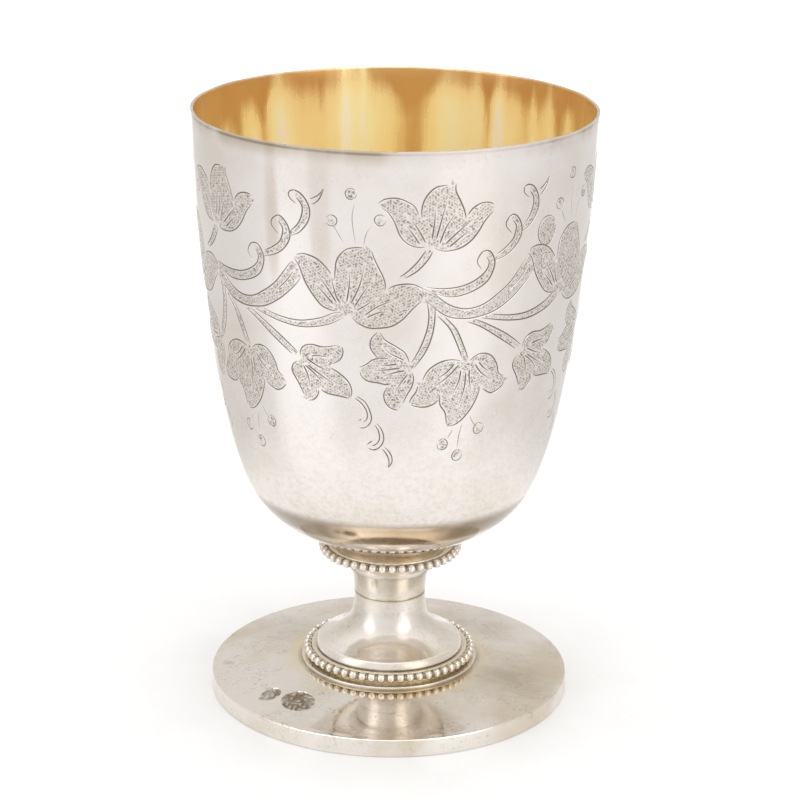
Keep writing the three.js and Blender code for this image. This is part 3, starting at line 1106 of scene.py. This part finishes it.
def lower_stem():
    base = LOWER_FLANGE_HEIGHT
    dome = shaped(DOME_SHAPE, DOME_RADIUS, NECK_RADIUS, DOME_HEIGHT - DOME_UNDERCUT, 9)
    dome[:, 1] += base + DOME_UNDERCUT
    flange = LOWER_FLANGE_RADIUS
    outline = [(STEM_OPENING_RADIUS, 0), (flange - 0.05, 0)]
    outline += corner((flange, 0), (flange, base), (DOME_RADIUS, base), 0.2).tolist()
    outline += [(DOME_RADIUS - DOME_UNDERCUT, base), (DOME_RADIUS - DOME_UNDERCUT - 0.1, base + 0.15)]
    outline += dome.tolist()
    top = base + DOME_HEIGHT
    outline += [(STEM_BORE_RADIUS, top), (STEM_BORE_RADIUS, base + 7.2)]
    outline += [(8.6, base + 5.2), (STEM_OPENING_RADIUS, base + 2.2)]
    outline = np.array(outline) + (0, LOWER_STEM_Z)
    verts, faces = turned_mesh(outline, even_angles(LOWER_STEM_STEPS))
    angle, radius = polar(verts)
    outside = radius > STEM_BORE_RADIUS + 0.5
    for pit_angle, pit_z, size in DOME_PITS:
        away = np.hypot((angle - pit_angle) * radius, verts[:, 2] - pit_z)
        verts[:, 2] -= 0.07 * hump(away, 0, size) * outside
    obj = new_object("dome_and_flange", verts, faces, [SILVER])
    z = verts[:, 2] - LOWER_STEM_Z
    # Painted shade in a line where the dome's edge overhangs the flange and low on the flange behind the
    # beads; a dark joint at the top; and the six bands of painted shade on the dome.
    grime_and_shade = 0.5 * hump(z - base, 0.12, 0.3) * (radius > 12) * (radius < DOME_RADIUS + 0.1)
    grime_and_shade += 0.3 * hump(z, top, 0.2)
    grime_and_shade += 0.12 * (z < base - 0.8) * (radius > 16)
    grime_and_shade += 0.26 * painted_shade_bands(angle) * np.clip((z - base - 4) / 4, 0, 1)
    warm = 0.6 * hump(z, top, 0.25) + 0.6 * (radius > DOME_RADIUS) + 0.05
    finish_silver(obj, "lower_stem", grime_and_shade, warm)


BEAD_SECTIONS = (-1, -0.95, -0.89, -0.8, -0.66, -0.46, -0.23, 0, 0.23, 0.46, 0.66, 0.8, 0.89, 0.95)
BEAD_SIDES = 18


def bead_ring(name, node, ring_radius, size, z, seed):
    """Round beads in a row along a wire, parted by thin ridges, darker in the narrows and with painted shade
    on the side that faces the flange.
    """
    chance = random.Random(seed)
    beads = round(TAU * ring_radius / BEAD_PITCH)
    half_pitch = math.pi * ring_radius / beads
    verts, grime_and_shade = [], []
    for bead in range(beads):
        own = size * chance.uniform(0.955, 1.0)
        lift = chance.uniform(-0.04, 0.04)
        for share in BEAD_SECTIONS:
            along = share * half_pitch
            swell = math.sqrt(max(1 - (along / own) ** 2, 0))
            swell = BEAD_RIDGE if abs(share) > 0.92 else max(swell, BEAD_WAIST)
            section = own * swell
            angle = ((2 * bead + 0.5) * half_pitch + along) / ring_radius
            for side in range(BEAD_SIDES):
                turn = TAU * side / BEAD_SIDES
                out = ring_radius + section * math.cos(turn)
                up = z + lift + section * math.sin(turn)
                verts.append((out * math.sin(angle), -out * math.cos(angle), up))
                # Darker in the narrows between beads, and painted shade on the side facing the flange.
                narrow = 1.2 * (1 - min(1.0, swell * 1.06)) + 0.45 * (abs(share) > 0.7)
                behind = 0.5 * max(0.0, -math.cos(turn)) ** 2
                grime_and_shade.append(min(0.9, narrow + behind))
    faces = []
    rings = beads * len(BEAD_SECTIONS)
    sides = BEAD_SIDES
    for r in range(rings):
        ahead = (r + 1) % rings
        for side in range(sides):
            beside = (side + 1) % sides
            faces.append((r * sides + side, ahead * sides + side, ahead * sides + beside, r * sides + beside))
    obj = new_object(name, verts, faces, [BEAD_SILVER])
    set_attribute(obj, "grime_and_shade", grime_and_shade)
    set_attribute(obj, "warm", np.full(len(verts), 0.25))
    finish_piece(obj, node)


def base_ring():
    radius, thick = BASE_RING_RADIUS, BASE_RING_THICKNESS
    outline = [(STEM_OPENING_RADIUS, 0), (radius - 0.05, 0)]
    outline += corner((radius, 0), (radius, thick), (STEM_OPENING_RADIUS, thick), 0.22).tolist()
    outline += [(LOWER_FLANGE_RADIUS + 0.3, thick), (STEM_OPENING_RADIUS, thick)]
    verts, faces = turned_mesh(np.array(outline) + (0, BASE_RING_Z), even_angles(BASE_RING_STEPS))
    obj = new_object("base_ring_plate", verts, faces, [SILVER])
    _, out = polar(verts)
    z = verts[:, 2] - BASE_RING_Z
    # Painted shade on the inner part under the beads and on the underside.
    grime_and_shade = 0.25 * np.clip((radius - 0.4 - out) / 0.4, 0, 1) + 0.6 * (z < 0.02)
    finish_silver(obj, "base_ring", grime_and_shade, (radius - 0.1 - out) / 0.3)


# The foot

MARK_STEP = 0.16
MARKS = [  # centre, half sizes, lean and depth of each worn punch on the foot
    ((-19.3, -22.6), (3.7, 4.3), 0.5, 0.2),
    ((-25.4, -18.9), (2.1, 2.9), -0.6, 0.16),
    ((-35.8, -1.3), (1.1, 1.6), 0.3, 0.05),
]
STAINS = [  # centre, spread and share of each tarnished patch
    ((27.0, -9.0), 8.0, 0.32),
    ((20.0, 20.0), 9.0, 0.2),
    ((-22.0, 17.0), 8.0, 0.18),
]


def foot_top(radius):
    share = np.clip((radius - FOOT_SEAT_RADIUS) / (FOOT_TOP_EDGE - FOOT_SEAT_RADIUS), 0, 1)
    return BASE_RING_Z - FOOT_RISE * share**FOOT_CROWN


def foot_angles():
    """Close together where the punched marks are, and even elsewhere."""
    dense_from, dense_to = -1.06, -0.5
    fine = MARK_STEP / 30
    dense = np.arange(dense_from, dense_to, fine)
    rest = np.linspace(dense_to, dense_from + TAU, 300, endpoint=False)
    return np.concatenate([dense, rest])


def foot_radii():
    """Close together where the punched marks are, and wider elsewhere."""
    outer = np.arange(FOOT_TOP_EDGE, 34.0, -0.8)
    marks = np.arange(34.0, 25.0, -MARK_STEP)
    inner = np.linspace(25.0, FOOT_SEAT_RADIUS, 7)
    return np.concatenate([outer, marks, inner])


def oval_mark(across, along, width, length):
    """How far inside an oval a point lies: one in the middle and none at its edge."""
    return 1 - (across / width) ** 2 - (along / length) ** 2


def mark_depth(verts):
    """Worn oval punches with a raised pattern of dots and short strokes."""
    depth = np.zeros(len(verts))
    for (at_x, at_y), (width, length), lean, sink in MARKS:
        x, y = verts[:, 0] - at_x, verts[:, 1] - at_y
        u = x * math.cos(lean) + y * math.sin(lean)
        v = -x * math.sin(lean) + y * math.cos(lean)
        well = oval_mark(u, v, width, length)
        sunk = np.clip(well * 4, 0, 1)
        cells = np.sin(2.7 * u + 1.4 * np.sin(1.6 * v)) * np.sin(2.2 * v + 1.3 * np.sin(1.9 * u + 1))
        rim = hump(well, 0.3, 0.1)
        depth -= sunk * sink * (1 - 0.62 * np.clip(1.3 * cells + 0.5 * rim, -0.4, 1))
        depth += 0.2 * sink * hump(well, 0, 0.16) * (well < 0.1)
    return depth


def foot_outline():
    """The foot's section: the ring it stands on, its edge, its top, and the hollow underneath."""
    inner_radius = FOOT_RADIUS - FOOT_EDGE_WALL
    edge_top = (FOOT_RADIUS, FOOT_EDGE_HEIGHT + 0.05)
    outline = [(inner_radius, 0), (inner_radius + 0.3, 0), (FOOT_RADIUS - 0.15, 0)]
    outline += [(FOOT_RADIUS - 0.03, 0.06), (FOOT_RADIUS, 0.2), (FOOT_RADIUS, 1.8)]
    outline += corner((FOOT_RADIUS, 1), edge_top, (30, FOOT_EDGE_HEIGHT + 0.8), 0.32, 5).tolist()
    outline += [(r, foot_top(r)) for r in foot_radii() if r < FOOT_TOP_EDGE - 0.3]
    outline += [(STEM_OPENING_RADIUS, BASE_RING_Z), (STEM_OPENING_RADIUS, BASE_RING_Z - FOOT_SHEET)]
    outline += [(FOOT_SEAT_RADIUS, BASE_RING_Z - FOOT_SHEET)]
    outline += [(r, foot_top(r) - FOOT_SHEET) for r in (24.0, 29.0, 34.0)]
    return outline + [(inner_radius, FOOT_EDGE_HEIGHT - FOOT_SHEET)]


def foot():
    verts, faces = turned_mesh(foot_outline(), foot_angles())
    above = verts[:, 2] > FOOT_EDGE_HEIGHT - 0.4
    marks = mark_depth(verts) * above
    angle, radius = polar(verts)
    on_top = above & (radius < FOOT_TOP_EDGE - 0.3) & (radius > FOOT_SEAT_RADIUS + 0.2)
    wave = 0.02 * np.sin(3 * angle + 0.4) + 0.012 * np.sin(5 * angle + radius / 4)
    fade = np.clip((radius - FOOT_SEAT_RADIUS) / 3, 0, 1) * np.clip((FOOT_TOP_EDGE - radius) / 2, 0, 1)
    verts[:, 2] += np.where(on_top, marks + wave * fade, 0)
    obj = new_object("foot_plate", verts, faces, [FOOT_SILVER])
    grime_and_shade = np.clip(-marks * 6.5, 0, 0.9) * on_top
    grime_and_shade += 0.55 * hump(radius - BASE_RING_RADIUS, 0.1, 0.45) * above
    for (at_x, at_y), spread, share in STAINS:
        away = np.hypot(verts[:, 0] - at_x, verts[:, 1] - at_y)
        grime_and_shade += share * hump(away, 0, spread) * on_top
    stain = hump(radius, BASE_RING_RADIUS, 3.2) * (0.75 + 0.25 * np.sin(3 * angle + 1))
    finish_silver(obj, "foot", grime_and_shade, np.minimum(stain * above, 0.9))


# The floor, the light and the camera

FLOOR_RADIUS = 150.0
FLOOR_FADE_FROM = 62.0
FLOOR_STEPS = 128


def floor():
    """A plain pale floor round the foot that melts into the studio further out."""
    angles = even_angles(FLOOR_STEPS)
    ring = [(FLOOR_RADIUS * math.sin(a), -FLOOR_RADIUS * math.cos(a), 0.0) for a in angles]
    nodes = Nodes("floor")
    speck = nodes.ramp(nodes.noise(60, 2), 0.3, 0.7)
    color = nodes.mix(speck, (0.71, 0.71, 0.71, 1), (0.73, 0.73, 0.73, 1))
    nodes.link(color, nodes.shader.inputs["Base Color"])
    nodes.shader.inputs["Roughness"].default_value = 0.35
    length = nodes.vector("LENGTH", nodes.place, output="Value")
    melt = nodes.ramp(length, FLOOR_FADE_FROM * MM, FLOOR_RADIUS * MM, 1.0, 0.0)
    nodes.link(melt, nodes.shader.inputs["Alpha"])
    obj = new_object("floor", ring, [tuple(range(FLOOR_STEPS))], [nodes.material])


STUDIO_BASE = (0.80, 0.79, 0.775, 1)
STUDIO = [  # azimuth, elevation, inner and outer angle, vertical squash, colour
    (0, 90, 25, 70, 1.0, (1.14, 1.14, 1.13, 1)),
    (0, 90, 12, 38, 1.0, (3.9, 3.9, 3.87, 1)),
    (0, -25, 35, 110, 1.0, (0.98, 0.98, 0.98, 1)),
    (-62, -37, 5, 25, 0.9, (1.12, 1.12, 1.12, 1)),
    (41, -27, 5, 26, 0.8, (1.08, 1.08, 1.08, 1)),
    (-74, -19.5, 1.5, 6, 1.25, (0.79, 0.745, 0.68, 1)),
    (-43, -19.5, 2, 8, 1.0, (0.87, 0.84, 0.80, 1)),
    (-61, 26, 3, 24, 0.56, (1.65, 1.64, 1.62, 1)),
    (44, 26, 3, 26, 0.56, (1.95, 1.94, 1.92, 1)),
    (180, 22, 18, 42, 1.0, (0.79, 0.77, 0.74, 1)),
    (180, -18.5, 13.5, 21, 1.0, (1.25, 1.25, 1.25, 1)),
]


class Sky(Graph):
    """The studio round the object: a soft even light with brighter and darker parts."""

    def __init__(self):
        world = bpy.data.worlds.new("studio")
        bpy.context.scene.world = world
        world.use_nodes = True
        super().__init__(world.node_tree)
        self.back = self.tree.nodes["Background"]
        self.way = self.add("ShaderNodeTexCoord").outputs["Generated"]

    def patch(self, azimuth, elevation, inner, outer, squash):
        """One inside the inner angle from a direction, fading to none at the outer one."""
        a, e = math.radians(azimuth), math.radians(elevation)
        toward = (math.sin(a) * math.cos(e), -math.cos(a) * math.cos(e), math.sin(e) * squash)
        length = math.sqrt(sum(c * c for c in toward))
        unit = self.vector("NORMALIZE", self.vector("MULTIPLY", self.way, (1, 1, squash)))
        along = self.vector("DOT_PRODUCT", unit, tuple(c / length for c in toward), "Value")
        return self.ramp(along, math.cos(math.radians(outer)), math.cos(math.radians(inner)))


def light():
    sky = Sky()
    color = STUDIO_BASE
    for azimuth, elevation, inner, outer, squash, tint in STUDIO:
        color = sky.mix(sky.patch(azimuth, elevation, inner, outer, squash), color, tint)
    sky.link(color, sky.back.inputs["Color"])
    sky.back.inputs["Strength"].default_value = 1.0


CAMERA_PLACE = (1.75, -533.7, 243.4)
CAMERA_DOWN = 18.41
CAMERA_ROLL = 0.706
FOCAL_LENGTH = 117.5


def camera():
    data = bpy.data.cameras.new("camera")
    data.sensor_width = 36
    data.lens = FOCAL_LENGTH
    data.clip_start = 0.01
    obj = bpy.data.objects.new("camera", data)
    bpy.context.scene.collection.objects.link(obj)
    place = Matrix.Translation([c * MM for c in CAMERA_PLACE])
    tilt = Matrix.Rotation(math.radians(90 - CAMERA_DOWN), 4, "X")
    roll = Matrix.Rotation(math.radians(CAMERA_ROLL), 4, "Z")
    obj.matrix_world = place @ tilt @ roll
    bpy.context.scene.camera = obj


bpy.context.scene.view_settings.view_transform = "Standard"
camera()
floor()
light()
bowl()
upper_stem()
lower_stem()
upper_ring = UPPER_FLANGE_RADIUS + BEAD_GAP + UPPER_BEAD_RADIUS - UPPER_BEAD_SHIFT[0]
lower_ring = LOWER_FLANGE_RADIUS + BEAD_GAP + LOWER_BEAD_RADIUS - LOWER_BEAD_SHIFT[0]
upper_z = UPPER_BEADS_Z + UPPER_BEAD_SHIFT[1]
lower_z = LOWER_BEADS_Z + LOWER_BEAD_SHIFT[1]
bead_ring("upper_beads", "upper_bead_ring", upper_ring, UPPER_BEAD_SIZE, upper_z, 3)
bead_ring("lower_beads", "lower_bead_ring", lower_ring, LOWER_BEAD_SIZE, lower_z, 5)
base_ring()
foot()
